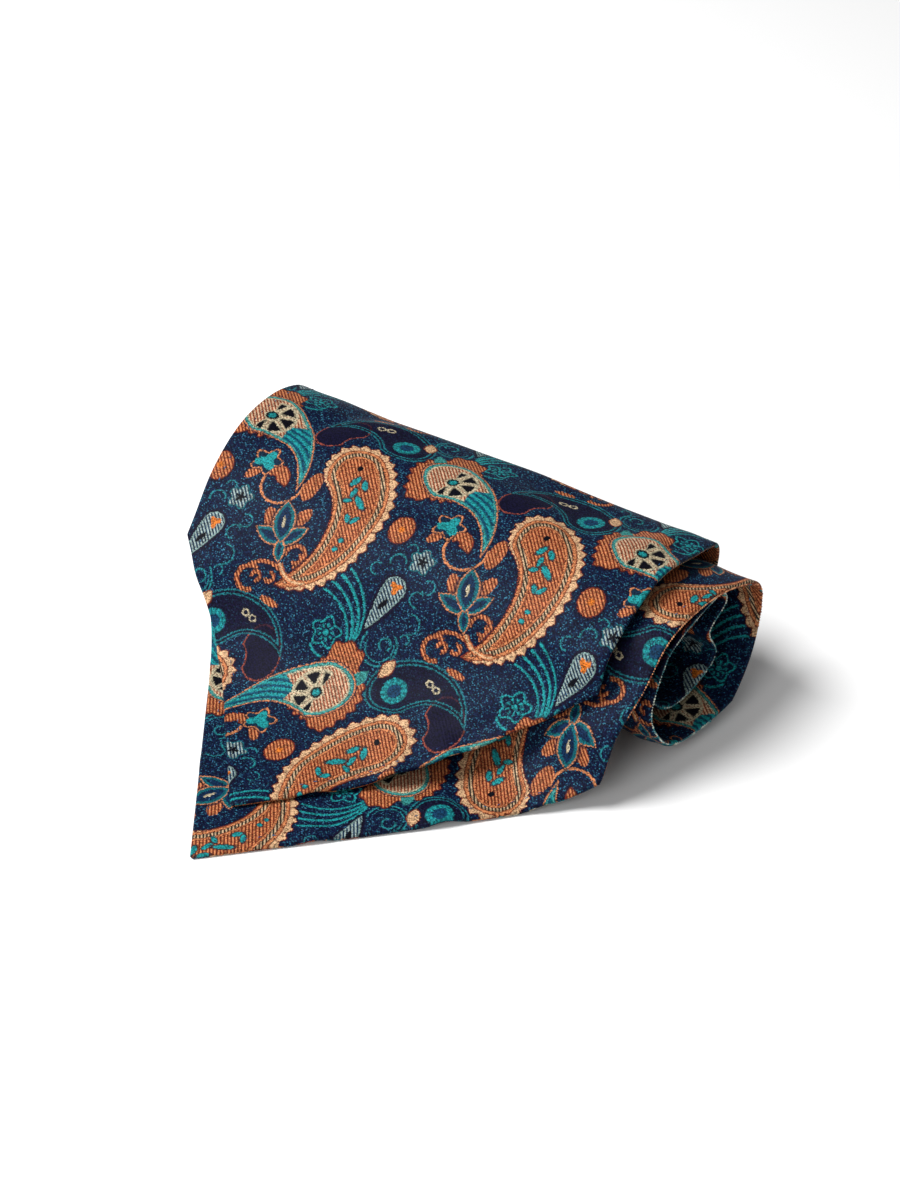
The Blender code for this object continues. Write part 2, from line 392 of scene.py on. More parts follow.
def fold_heights(folds, across, along):
    """How far the folds move the cloth outwards."""
    height = np.zeros_like(across)
    for fold in folds:
        turn = math.radians(fold.turn)
        ahead = (across - fold.across) * math.cos(turn) + (along - fold.along) * math.sin(turn)
        aside = (along - fold.along) * math.cos(turn) - (across - fold.across) * math.sin(turn)
        height += fold.height * np.exp(-(ahead / fold.length) ** 2 - (aside / fold.width) ** 2)
    return height


def cloth_thickness(gap):
    """Thickness of the cloth by the distance from its edge: a round, slightly fuller hem."""
    radius = HEM / 2
    near = np.clip(gap / radius, 0.0, 1.0)
    rounding = np.sqrt(np.clip(1 - (1 - near) ** 2, 0.0, 1.0))
    fullness = np.exp(-(np.clip(gap - radius, 0, None) / HEM_WIDTH) ** 2)
    return rounding * (CLOTH + (HEM - CLOTH) * fullness)


def shell_faces(rows, columns, rounded_start, rounded_end):
    """Faces of a closed shell on two grids that share their rounded edges' points."""
    outer = np.arange(rows * columns).reshape(rows, columns)
    shared = np.zeros((rows, columns), bool)
    shared[:, [0, -1]] = True
    shared[0] |= rounded_start
    shared[-1] |= rounded_end
    inner = outer.copy()
    own = ~shared
    inner[own] = rows * columns + np.arange(own.sum())
    quads = []
    for grid, flip in ((outer, False), (inner, True)):
        corners = [grid[:-1, :-1], grid[:-1, 1:], grid[1:, 1:], grid[1:, :-1]]
        if flip:
            corners = corners[::-1]
        quads.append(np.stack(corners, axis=-1).reshape(-1, 4))
    faces = [tuple(face) for face in np.concatenate(quads)]
    caps = []
    for row, open_end, flip in ((0, not rounded_start, False), (rows - 1, not rounded_end, True)):
        if not open_end:
            continue
        for column in range(columns - 1):
            face = [inner[row, column], inner[row, column + 1], outer[row, column + 1], outer[row, column]]
            face = list(dict.fromkeys(face[::-1] if flip else face))
            caps.append(tuple(face))
    return faces, caps, own


def cloth_sides(shell, across, along, gap):
    """The cloth's outer and inner surface over points of its flat cut."""
    middle = place(shell.strip, across, along)
    normal = facing(shell.strip, across, along)
    folds = TOP_FOLDS if shell.strip.name == "top" else UNDER_FOLDS
    middle = middle + normal * fold_heights(folds, across, along)[..., None]
    half = cloth_thickness(gap)[..., None] / 2
    return middle + normal * half, middle - normal * half


def cloth_mesh(shell, shift):
    """The shell's mesh in metres, with its flat cut as a UV map."""
    across, along, gap = cut_grid(shell)
    outer, inner = cloth_sides(shell, across, along, gap)
    rows, columns = across.shape
    faces, caps, own = shell_faces(rows, columns, shell.hem_start, shell.hem_end)
    points = np.concatenate([outer.reshape(-1, 3), inner[own]])
    points[:, 2] = np.maximum(points[:, 2], LOWEST)
    cut = np.stack([across, along], axis=-1)
    cut = np.concatenate([cut.reshape(-1, 2), cut[own]])
    outer_side, inner_side = PATTERN_PLACES[shell.strip.name]
    mesh = bpy.data.meshes.new(shell.name + "_silk")
    mesh.from_pydata(((points + shift) * MM).tolist(), [], faces + caps)
    mesh.shade_smooth()
    corner_points = np.empty(len(mesh.loops), dtype=np.int32)
    mesh.loops.foreach_get("vertex_index", corner_points)
    cut = cut[corner_points]
    on_outer = np.arange(len(cut)) < 2 * (rows - 1) * (columns - 1) * 2
    pattern = np.where(on_outer[:, None], outer_side.origin + outer_side.turn * cut,
                       inner_side.origin + inner_side.turn * cut)
    uv = mesh.uv_layers.new(name="pattern")
    uv.data.foreach_set("uv", (pattern * MM).astype(np.float32).ravel())
    mesh.update()
    return mesh


def frame_shift():
    """From the stations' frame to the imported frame, by the middle of the whole."""
    lows, highs = [], []
    for shell in SHELLS:
        across, along, _ = cut_grid(shell)
        middle = place(shell.strip, across, along)
        normal = facing(shell.strip, across, along) * WALL / 2
        for side in (middle - normal, middle + normal):
            lows.append(side.reshape(-1, 3).min(axis=0))
            highs.append(side.reshape(-1, 3).max(axis=0))
    ours = (np.min(lows, axis=0) + np.max(highs, axis=0)) / 2
    packed = (np.array(cad_box[0]) + np.array(cad_box[1])) / 2 / MM
    return np.array([packed[0] - ours[0], packed[1] - ours[1], 0.0])


def add_object(name, data):
    """An object in the scene with its data."""
    item = bpy.data.objects.new(name, data)
    bpy.context.scene.collection.objects.link(item)
    return item


def new_material(name, finish):
    """A material with a plain finish, its node tree and its shader."""
    material = bpy.data.materials.new(name)
    material.use_nodes = True
    shader = material.node_tree.nodes["Principled BSDF"]
    for quality, value in finish.items():
        shader.inputs[quality].default_value = value
    return material, material.node_tree, shader


def linear(code):
    """A linear RGBA colour from a web colour code."""
    parts = [int(code[i:i + 2], 16) / 255 for i in (1, 3, 5)]
    return tuple(((c + 0.055) / 1.055) ** 2.4 if c > 0.04045 else c / 12.92 for c in parts) + (1.0,)


class Thread:
    """A value in the silk's shader. Arithmetic on it adds Math nodes."""

    def __init__(self, tree, socket):
        self.tree = tree
        self.socket = socket

    def node(self, kind, settings, inputs, output=0):
        """Add a node of a kind, with its settings made first, and return one of its outputs."""
        item = self.tree.nodes.new(kind)
        for name, value in settings.items():
            if name == "curve":
                shape_curve(item.mapping, value)
            else:
                setattr(item, name, value)
        for name, value in inputs.items():
            if isinstance(value, Thread):
                self.tree.links.new(value.socket, item.inputs[name])
            else:
                item.inputs[name].default_value = value
        return Thread(self.tree, item.outputs[output])

    def math(self, operation, *others, clamp=False):
        inputs = dict(enumerate((self, *others)))
        return self.node("ShaderNodeMath", {"operation": operation, "use_clamp": clamp}, inputs)

    def scaled(self, by, plus, clamp=False):
        """The value times by, plus another."""
        return self.math("MULTIPLY_ADD", by, plus, clamp=clamp)

    def __add__(self, other):
        return self.math("ADD", other)

    def __sub__(self, other):
        return self.math("SUBTRACT", other)

    def __rsub__(self, other):
        return self.scaled(-1.0, other)

    def __mul__(self, other):
        return self.math("MULTIPLY", other)

    def __abs__(self):
        return self.math("ABSOLUTE")

    def past(self, edge, soft=0.16):
        """1 where the value is more than edge, 0 where it is less, with a soft step."""
        return self.scaled(1 / soft, 0.5 - edge / soft, clamp=True)

    def short_of(self, edge, soft=0.16):
        """1 where the value is less than edge."""
        return self.scaled(-1 / soft, 0.5 + edge / soft, clamp=True)


def shape_curve(mapping, points):
    """Give a Float Curve node its points, in millimetres."""
    mapping.use_clip = False
    mapping.extend = "HORIZONTAL"
    curve = mapping.curves[0]
    curve.points[0].location = points[0]
    curve.points[-1].location = points[-1]
    for point in points[1:-1]:
        curve.points.new(*point)
    mapping.update()


def length(a, b):
    """Length of a step of a to one side and b ahead."""
    return a.math("MULTIPLY", a).math("ADD", b * b).math("SQRT")


def dyed(colour):
    """A colour as a shader's input: a web code is made linear, a value stays as it is."""
    return linear(colour) if isinstance(colour, str) else colour


class Loom:
    """The pattern as it is woven: coordinates of the cut, ribbed colours and the colour so far."""

    def __init__(self, across, along):
        self.across = across
        self.along = along
        self.colour = None

    def dye(self, mask, colour):
        """Weave a colour over what is there, where mask is 1."""
        self.colour = self.mixed(mask, self.colour, colour)

    def mixed(self, mask, low, high):
        """The colour low where mask is 0 and high where it is 1."""
        inputs = {0: mask, 6: dyed(low), 7: dyed(high)}
        return mask.node("ShaderNodeMix", {"data_type": "RGBA"}, inputs, 2)


# A motif's place: millimetres right of a middle line in its nearest copy, and along the cut
Spot = namedtuple("Spot", "right up middle")
# An arc: its centre and radius, its middle direction and half span in degrees, and its width
Arc = namedtuple("Arc", "across along radius middle half width")
# A small leaf: its middle, its turn in degrees, and half of its length and of its width
Petal = namedtuple("Petal", "across along turn long wide")


def row_place(loom, middle):
    """Coordinates in the repeat's row around middle; each second row is mirrored."""
    row = ((loom.along - middle) * (1 / ROW_HEIGHT)).math("ROUND")
    side = row.math("PINGPONG", 1.0).scaled(-2.0, 1.0)
    up = row.scaled(-ROW_HEIGHT, loom.along)
    return (loom.across - MIRROR_LINE) * side, up


def about(row, middle):
    """The row's nearest copy of what stands about the line at middle."""
    over, up = row
    right = (over - (middle - MIRROR_LINE)).math("WRAP", REPEAT_WIDTH / 2, -REPEAT_WIDTH / 2)
    return Spot(right, up, middle)


def turned(spot, centre, degrees, wide=1.0, high=1.0):
    """Coordinates about a centre, turned counterclockwise and divided by a size."""
    c, s = math.cos(math.radians(degrees)), math.sin(math.radians(degrees))
    x, y = centre[0] - spot.middle, centre[1]
    ahead = spot.up.scaled(s / wide, -(x * c + y * s) / wide)
    ahead = spot.right.scaled(c / wide, ahead)
    aside = spot.up.scaled(c / high, (x * s - y * c) / high)
    aside = spot.right.scaled(-s / high, aside)
    return ahead, aside


def oval(spot, centre, degrees, wide, high):
    """Square of the distance from an oval's middle: 1 on its edge."""
    ahead, aside = turned(spot, centre, degrees, wide, high)
    return ahead.scaled(ahead, aside * aside)


def lens(spot, centre, degrees, wide, high):
    """A leaf with two points along its own axis: 1 on its edge."""
    ahead, aside = turned(spot, centre, degrees, wide, high)
    return ahead.scaled(ahead, abs(aside))


def polar(spot, centre, degrees=0.0):
    """Distance from a centre, and the angle about it from a direction."""
    ahead, aside = turned(spot, centre, degrees)
    return length(ahead, aside), aside.math("ARCTAN2", ahead)


def bent(spot, centre, radius, degrees):
    """Length along an arc about a centre and distance outside it.

    The length is 0 in the direction of degrees and grows counterclockwise."""
    far, angle = polar(spot, centre, degrees)
    return angle * radius, far - radius


def leaf(bend, head, points):
    """How far inside a leaf on a bent middle line, round about its head at length head.

    points are (length, half width) along it. Also gives the length past the head."""
    along, out = bend
    far = head > (points[0][0] + points[-1][0]) / 2
    over = (along - head if far else head - along).math("MAXIMUM", 0.0)
    width = along.node("ShaderNodeFloatCurve", {"curve": points}, {1: along})
    return width - length(over, out), over


def stroke(spot, centre, radius, middle, half, width):
    """A line on an arc about a centre, half degrees to each side of its middle direction."""
    far, angle = polar(spot, centre, middle)
    line = abs(far - radius).short_of(width / 2, 0.2)
    return line * abs(angle).short_of(math.radians(half), 0.25 / radius)


def arc_stroke(spot, arc, longer=0.0, wider=0.0):
    """The line of an arc, which may be made longer and wider."""
    return stroke(spot, (arc.across, arc.along), arc.radius, arc.middle,
                  arc.half + longer, arc.width + wider)


def ribbed_colours(loom):
    """Colours whose floats lie in slanting ribs."""
    lean = loom.across * math.cos(RIB_LEAN) + loom.along * math.sin(RIB_LEAN)
    wave = (lean * (2 * math.pi / RIB_PITCH)).math("SINE")
    rib = wave.scaled(0.9, 0.55, clamp=True)
    fine = wave.scaled(1.0, 0.5, clamp=True)
    loom.wave = wave
    loom.orange = loom.mixed(rib, RUST, ORANGE)
    loom.cream = loom.mixed(fine, OLIVE, STRAW)
    loom.mist = loom.mixed(fine, SLATE, PALE_MIST)
    loom.rose = loom.mixed(fine, BRICK, SHELL_PINK)


def ground(loom):
    """Navy ground with a heather of blue threads."""
    loom.colour = GROUND
    loom.dye(loom.speck.scaled(2.4, -1.15, clamp=True), HEATHER)
    loom.dye(loom.speck.scaled(6.0, -5.0, clamp=True), HEATHER_LIGHT)


def big_paisley(loom, low):
    spot = about(low, 45.0)
    bend = bent(spot, (25.2, 113.4), 28.5, 0)
    along, out = bend
    inside, over = leaf(bend, 26.2, [
        (-35, -1.5), (-31, 0.8), (-25, 2.8), (-16, 4.9), (-6, 6.9), (6, 8.6), (18, 9.7), (27, 10.0)])
    rim = along.math("MINIMUM", 26.2) + over.math("ARCTAN2", abs(out)) * 11.5
    part = (rim * (1 / 3.5)).math("WRAP", 0.5, -0.5)
    side = (out * 0.10 + along * 0.026).math("ADD", 0.78, clamp=True)
    petals = side.scaled(abs(part).scaled(-3.2, 3.0), inside)
    # dark outline, also painted shade beside the raised paisley
    loom.dye(petals.past(-0.95, 0.5) * OUTLINE_SHADE, NIGHT)
    loom.dye(petals.past(-0.35), RUST)
    split = abs(part).scaled(-9.0, 4.7, clamp=True)
    loom.dye(petals.past(0.0) * split, PEACH)
    for edge, colour in ((-0.2, RUST), (0.15, ORANGE), (1.05, RUST), (1.35, loom.cream),
                         (2.9, RUST), (3.2, ORANGE), (3.8, RUST), (4.05, loom.orange)):
        loom.dye(inside.past(edge), colour)
    # Hook of the point
    for width, colour in ((2.3, RUST), (1.7, ORANGE), (0.7, PEACH)):
        loom.dye(stroke(spot, (43.6, 99.4), 9.2, -108, 42, width), colour)
    # Small teal leaves up the middle of the field
    sprigs = [
        Petal(45.0, 132.0, 70, 2.5, 1.2), Petal(49.0, 131.6, 125, 2.4, 1.1),
        Petal(47.0, 127.6, 95, 2.3, 1.0), Petal(51.2, 124.6, -38, 3.6, 1.2),
        Petal(46.6, 123.9, 20, 1.8, 0.9), Petal(50.8, 117.4, -55, 2.0, 1.0),
        Petal(53.4, 117.6, 55, 2.0, 1.0), Petal(52.9, 109.2, 0, 1.1, 0.9),
        Petal(52.4, 105.6, 0, 1.0, 0.9),
    ]
    for sprig in sprigs:
        size = oval(spot, (sprig.across, sprig.along), sprig.turn, sprig.long, sprig.wide)
        loom.dye(size.short_of(1.5, 0.3), PLUM)
        loom.dye(size.short_of(0.8, 0.3), SEA)
    loom.dye(oval(spot, (43.2, 137.6), 0, 1.1, 1.3).short_of(1.0, 0.4), INK)


def curl_leaf(loom, high):
    spot = about(high, 6.0)
    # Fringe round the head, with a flame at its top
    far, angle = polar(spot, (-1.0, 147.0), 180)
    reach = angle.node("ShaderNodeFloatCurve", {"curve": [
        (-2.1, 11.5), (-1.85, 14.5), (-1.3, 20.8), (-0.95, 16.2), (-0.2, 15.4),
        (0.45, 14.4), (0.95, 15.8), (1.25, 13.4), (1.5, 11.0)]}, {1: angle})
    fringe = (angle * 21.0).math("SINE").scaled(0.7, reach) - far
    # dark outline, also painted shade beside the raised fringe
    loom.dye(fringe.past(-0.7, 0.5) * OUTLINE_SHADE, NIGHT)
    loom.dye(fringe.past(0.0, 0.3), RUST)
    loom.dye(fringe.past(0.5, 0.3), loom.orange)
    notch = lens(spot, (-11.4, 156.8), 122, 4.6, 2.2)
    loom.dye(notch.short_of(1.0, 0.12), JADE)
    # Leaf with a round head, whose point bends down
    bend = bent(spot, (-2.2, 113.9), 33.1, 50)
    along, out = bend
    inside, over = leaf((along, out - along.scaled(0.09, -0.6)), 21.4, [
        (-27, -1.5), (-21, -0.1), (-14, 1.4), (-6, 2.7), (3, 4.6), (12, 7.5), (21.4, 11.0)])
    for edge, colour in ((-0.65, NAVY), (-0.3, ORANGE), (0.15, TEAL), (0.55, PALE_JADE),
                         (1.2, DULL_JADE), (1.5, CREAM), (2.0, loom.rose)):
        loom.dye(inside.past(edge), colour)
    stripe = (out * 2.6 + along * 0.35).math("SINE").scaled(0.8, 0.55, clamp=True)
    behind = abs(out).scaled(0.75, along).short_of(13.0, 0.4)
    loom.dye(inside.past(0.9) * behind, loom.mixed(stripe, PETROL, SEA))
    # Black petals with cream edges about a small flower
    far, angle = polar(spot, (0.2, 147.0), 0)
    lobes = far * abs((angle * 3.5).math("COSINE")) * (1 / 3.5)
    petal = lobes.math("MINIMUM", far.scaled(-0.7, 6.4))
    petal = petal * abs(angle).short_of(1.8, 0.1) * inside.past(1.7)
    loom.dye(petal.past(0.14, 0.2), CREAM)
    loom.dye(petal.past(0.92, 0.3), INK)
    loom.dye(far.short_of(2.7, 0.3), CREAM)
    loom.dye(far.short_of(2.2, 0.3), INK)
    loom.dye(far.short_of(1.3, 0.6), SEA)


def eye_drop(loom, high):
    spot = about(high, 34.0)
    bend = bent(spot, (35.3, 144.9), 18.7, 90)
    inside, over = leaf(bend, -15.3, [
        (-15.3, 9.2), (-9, 8.4), (-2, 6.7), (6, 4.4), (12, 2.3), (18, 0.2), (24, -1.5)])
    loom.dye(inside.past(0.0) * 0.86, NIGHT)
    for edge in (-0.3, 1.15):
        loom.dye(abs(inside - edge).short_of(0.26, 0.2), DROP_LINE)
    far, angle = polar(spot, (48.8, 157.4))
    ticks = (angle * 12.0).math("SINE").scaled(0.5, 0.6, clamp=True)
    loom.dye(far.short_of(4.7, 0.3), loom.mixed(ticks, TEAL, SEA))
    loom.dye(far.short_of(2.5, 0.3), EYE_BLUE)
    ahead, aside = turned(spot, (36.3, 163.6), 20)
    loop = length(abs(ahead) - 1.7, aside * 1.3)
    loom.dye(abs(loop - 1.3).short_of(0.34, 0.2), CREAM)
    loom.dye(oval(spot, (31.0, 170.4), 8, 3.8, 1.3).short_of(1.0, 0.25), loom.orange)


def dark_leaf(loom, high):
    spot = about(high, 25.0)
    body = oval(spot, (26.0, 152.4), 70, 10.6, 7.2).scaled(-4.0, 4.0)
    far, angle = polar(spot, (37.4, 147.0))
    inside = body.math("MINIMUM", far - 7.4)
    loom.dye(inside.past(-0.2), LEAF_RED)
    loom.dye(inside.past(0.3), NAVY)
    loom.dye(inside.past(0.3) * 0.8, NIGHT)


def cream_petal(loom, high):
    spot = about(high, -20.0)
    petal = lens(spot, (-19.6, 163.5), 115, 4.4, 2.4)
    loom.dye(petal.short_of(1.0, 0.1), RUST)
    loom.dye(petal.short_of(0.8, 0.1), PEACH)


def orange_oval(loom, low):
    spot = about(low, -3.0)
    size = oval(spot, (-3.0, 120.2), 12, 4.6, 5.7)
    # dark outline, also painted shade beside the raised oval
    loom.dye(size.short_of(1.3, 0.2) * OUTLINE_SHADE, NIGHT)
    loom.dye(size.short_of(1.0, 0.08), RUST)
    loom.dye(size.short_of(0.88, 0.08), loom.orange)
    loom.dye(size.short_of(0.05, 0.06), AMBER)


def clover(loom, low):
    spot = about(low, 18.0)
    loom.dye(stroke(spot, (21.6, 121.6), 7.7, -88, 108, 0.9), ORANGE)
    # dark outline, also painted shade beside the raised lobe
    loom.dye(stroke(spot, (17.0, 122.4), 3.7, 72, 92, 5.8) * OUTLINE_SHADE, NIGHT)
    loom.dye(stroke(spot, (17.0, 122.4), 3.7, 72, 88, 4.9), RUST)
    loom.dye(stroke(spot, (17.0, 122.4), 3.7, 72, 84, 4.2), loom.orange)
    far, angle = polar(spot, (11.0, 128.2), 80)
    edge = (angle * 5.0).math("COSINE").scaled(-1.1, far)
    loom.dye(oval(spot, (9.2, 122.6), 58, 3.6, 1.9).short_of(1.0, 0.1), loom.orange)
    # dark outline, also painted shade beside the raised clover
    loom.dye(edge.short_of(5.6, 0.3) * OUTLINE_SHADE, NIGHT)
    loom.dye(edge.short_of(5.0, 0.2), ORANGE)
    loom.dye(edge.short_of(4.4, 0.2), CLOVER_BLUE)
    lobe = (angle * 3.0).math("COSINE").scaled(-1.2, far)
    loom.dye(lobe.short_of(3.3, 0.25), SEA)
    loom.dye(oval(spot, (32.0, 124.2), 0, 2.9, 6.2).short_of(1.0, 0.1), loom.orange)


def lily(loom, low):
    spot = about(low, 31.0)
    for centre, turn in (((24.6, 108.4), 125), ((35.4, 111.8), 65)):
        loom.dye(oval(spot, centre, turn, 4.4, 2.4).short_of(1.0, 0.1), loom.orange)
    leaves = [
        Petal(27.4, 102.7, -12, 6.9, 2.9), Petal(35.2, 104.8, 46, 6.5, 2.8),
        Petal(33.2, 98.8, 110, 4.6, 2.2), Petal(29.9, 108.8, 108, 8.0, 4.2),
    ]
    for item in leaves:
        size = lens(spot, (item.across, item.along), item.turn, item.long, item.wide)
        # dark outline, also painted shade beside the raised leaves
        loom.dye(size.short_of(1.22, 0.2) * OUTLINE_SHADE, NIGHT)
    for item in leaves:
        size = lens(spot, (item.across, item.along), item.turn, item.long, item.wide)
        rim = 0.42 / item.wide
        loom.dye(size.short_of(1.0, 0.08), ORANGE)
        loom.dye(size.short_of(1.0 - rim, 0.08), TEAL)
        loom.dye(size.short_of(0.84 - 2.6 * rim, 0.1), LILY_BLUE)
    loom.dye(oval(spot, (29.8, 108.6), 108, 2.2, 0.55).short_of(1.0, 0.4), CREAM)


def orange_curls(loom, low):
    spot = about(low, 32.0)
    curls = [
        Arc(39.6, 98.6, 3.8, 60, 135, 1.5), Arc(40.8, 98.0, 1.6, -30, 110, 1.3),
        Arc(32.0, 84.4, 9.4, 95, 42, 1.3), Arc(26.8, 86.6, 4.2, 185, 120, 1.6),
        Arc(29.0, 87.8, 1.5, 60, 140, 1.4), Arc(34.0, 89.0, 1.6, -20, 130, 1.3),
    ]
    for curl in curls:
        # dark outline, also painted shade beside the raised curls
        loom.dye(arc_stroke(spot, curl, longer=5, wider=1.0) * OUTLINE_SHADE, NIGHT)
    for curl in curls:
        loom.dye(arc_stroke(spot, curl), loom.orange)


def striped_drop(loom, low):
    spot = about(low, 6.0)
    ahead, aside = turned(spot, (3.6, 95.0), 73)
    inside, over = leaf((ahead, aside), 5.2, [(-13, -1.0), (-11, 0.2), (-6, 1.9), (0, 3.4), (5.2, 4.3)])
    loom.dye(inside.past(-1.1), NIGHT)
    loom.dye(inside.past(0.0), MIST)
    loom.dye(inside.past(0.35), loom.mist)
    far, angle = polar(spot, (5.5, 100.6))
    loom.dye(((angle * 3.0).math("SINE").scaled(-0.6, far)).short_of(1.8, 0.3), AMBER)
    loom.dye(oval(spot, (3.2, 94.0), 60, 2.4, 0.9).short_of(1.0, 0.4), INK)
    far, angle = polar(spot, (10.0, 112.0))
    flower = (angle * 5.0).math("SINE").scaled(-0.7, far)
    loom.dye(flower.short_of(4.3, 0.2), TEAL)
    loom.dye(flower.short_of(3.8, 0.2), loom.mist)
    loom.dye(flower.short_of(1.5, 0.3), INK)


def teal_plume(loom, low):
    """Four long strokes below the paisley's point, a short one, and a curled bloom."""
    spot = about(low, 62.0)
    strokes = [
        Arc(53.5, 83.5, 19.7, 16, 49, 0.75), Arc(53.5, 80.8, 18.6, 24, 47, 1.0),
        Arc(53.5, 78.2, 17.5, 33, 45, 0.9), Arc(53.5, 75.5, 16.5, 41, 43, 0.75),
        Arc(63.4, 77.2, 7.2, -78, 66, 0.8),
    ]
    for item in strokes:
        loom.dye(arc_stroke(spot, item), SEA)
    far, angle = polar(spot, (61.8, 78.4))
    wavy = (angle * 5.0).math("SINE").scaled(-0.9, far)
    loom.dye(abs(wavy - 4.7).short_of(0.38, 0.2), SEA)
    ticks = (angle * 9.0).math("SINE").scaled(1.0, 0.3, clamp=True)
    loom.dye(abs(far - 2.4).short_of(0.7, 0.2) * ticks, SEA)
    loom.dye(far.short_of(1.0, 0.3), SEA)


def teal_scrolls(loom, low):
    spot = about(low, 6.0)
    scrolls = [
        Arc(7.6, 80.2, 6.6, -80, 130, 0.6), Arc(7.9, 80.4, 5.2, -80, 110, 0.35),
        Arc(9.4, 81.6, 2.2, 100, 150, 0.6), Arc(15.4, 91.0, 3.4, 10, 100, 0.4),
        Arc(14.4, 99.4, 2.6, 170, 120, 0.4), Arc(2.2, 109.0, 2.8, 110, 100, 0.5),
        Arc(-3.6, 104.5, 2.2, 180, 110, 0.4), Arc(16.4, 104.6, 2.4, 0, 130, 0.4),
        Arc(15.4, 85.4, 1.7, 60, 120, 0.4), Arc(4.6, 114.6, 2.0, 60, 110, 0.4),
    ]
    for scroll in scrolls:
        loom.dye(arc_stroke(spot, scroll), SCROLL_TEAL)


def weave_pattern(across, along):
    """Motifs from the ground up, each on what is woven below it."""
    cell = across.node("ShaderNodeCombineXYZ", {}, {
        0: across.math("SNAP", THREAD), 1: along.math("SNAP", THREAD * THREAD_RUN)})
    speck = cell.node("ShaderNodeTexWhiteNoise", {"noise_dimensions": "2D"}, {0: cell}, 0)
    other = cell.node("ShaderNodeTexWhiteNoise", {"noise_dimensions": "3D"}, {0: cell}, 0)
    loom = Loom(across, along)
    loom.speck = speck
    ribbed_colours(loom)
    loom.across = other.scaled(RAGGED, across)
    loom.along = speck.scaled(RAGGED, along)
    ground(loom)
    low = row_place(loom, 112.0)
    teal_plume(loom, low)
    teal_scrolls(loom, low)
    striped_drop(loom, low)
    orange_oval(loom, low)
    clover(loom, low)
    orange_curls(loom, low)
    lily(loom, low)
    high = row_place(loom, 150.0)
    dark_leaf(loom, high)
    eye_drop(loom, high)
    cream_petal(loom, high)
    curl_leaf(loom, high)
    big_paisley(loom, low)
    shade = other.scaled(THREAD_SPREAD, THREAD_DARK)
    loom.colour = shade.node("ShaderNodeVectorMath", {"operation": "SCALE"}, {0: loom.colour, 3: shade})
    return loom


def jacquard_silk():
    """The silk's finish: motifs in ribbed floats on a heathered navy ground."""
    material, tree, shader = new_material("jacquard_silk", {
        "Specular IOR Level": 0.06, "Sheen Weight": 0.005, "Sheen Roughness": 0.45,
        "Sheen Tint": linear(SHEEN_BLUE)})
    start = Thread(tree, None)
    cut = start.node("ShaderNodeUVMap", {"uv_map": "pattern"}, {})
    across = cut.node("ShaderNodeSeparateXYZ", {}, {0: cut}, 0)
    along = Thread(tree, across.socket.node.outputs[1])
    loom = weave_pattern(across * (1 / MM), along * (1 / MM))
    tree.links.new(loom.colour.socket, shader.inputs["Base Color"])
    light = loom.colour.node("ShaderNodeRGBToBW", {}, {0: loom.colour})
    roughness = light.scaled(-LIGHT_SHINE, ROUGHEST)
    tree.links.new(roughness.socket, shader.inputs["Roughness"])
    relief = loom.wave * 0.5 + loom.speck
    bump = relief.node("ShaderNodeBump", {}, {
        "Strength": 0.5, "Distance": RELIEF * MM, "Height": relief})
    tree.links.new(bump.socket, shader.inputs["Normal"])
    return material


FLOOR_REACH = 3           # metres to each side
FLOOR_GREY = 0.86


def make_floor():
    """A sheet of pale paper that stays out of the model."""
    mesh = bpy.data.meshes.new("floor")
    far = FLOOR_REACH
    mesh.from_pydata([(-far, -far, 0), (far, -far, 0), (far, far, 0), (-far, far, 0)], [], [(0, 1, 2, 3)])
    floor = add_object("floor", mesh)
    grey = (FLOOR_GREY, FLOOR_GREY, FLOOR_GREY, 1.0)
    mesh.materials.append(new_material("floor_paper", {"Base Color": grey, "Roughness": 0.9})[0])


# The photograph's view: 900 x 1200 pixels, with the target at TARGET_PIXEL; in millimetres
IMAGE_SIZE = (900, 1200)
TARGET_PIXEL = (361.4, 638.8)
CAMERA_TURN = math.radians(35.7)
CAMERA_RISE = math.radians(36.5)
CAMERA_DISTANCE = 960.0
CAMERA_TARGET = (0.0, -40.0, 20.0)
CAMERA_LENS = 85.0
CAMERA_FRAME = 36.0


def make_camera(shift):
    """A camera that sees the cloth as the photograph does."""
    camera = add_object("camera", bpy.data.cameras.new("camera"))
    ahead = Vector((-math.sin(CAMERA_TURN) * math.cos(CAMERA_RISE),
                    math.cos(CAMERA_TURN) * math.cos(CAMERA_RISE),
                    -math.sin(CAMERA_RISE)))
    right = Vector((math.cos(CAMERA_TURN), math.sin(CAMERA_TURN), 0.0))
    up = right.cross(ahead)
    target = (Vector(CAMERA_TARGET) + Vector(shift)) * MM
    turned = Matrix((right, up, -ahead)).transposed().to_4x4()
    camera.matrix_world = Matrix.Translation(target - ahead * CAMERA_DISTANCE * MM) @ turned
    camera.data.lens = CAMERA_LENS
    camera.data.sensor_width = CAMERA_FRAME
    camera.data.shift_x = (IMAGE_SIZE[0] / 2 - TARGET_PIXEL[0]) / IMAGE_SIZE[1]
    camera.data.shift_y = (TARGET_PIXEL[1] - IMAGE_SIZE[1] / 2) / IMAGE_SIZE[1]
    camera.data.clip_start = 0.05
    bpy.context.scene.camera = camera


WORLD_LIGHT = 0.26


def soft_light(name, place_at, size, power):
    """A round white lamp, in metres and watts, that shines at the middle of the cloth."""
    lamp = bpy.data.lights.new(name, "AREA")
    lamp.shape = "DISK"
    lamp.size = size
    lamp.energy = power
    item = add_object(name, lamp)
    item.location = place_at
    item.rotation_euler = (-Vector(place_at)).to_track_quat("-Z", "Y").to_euler()


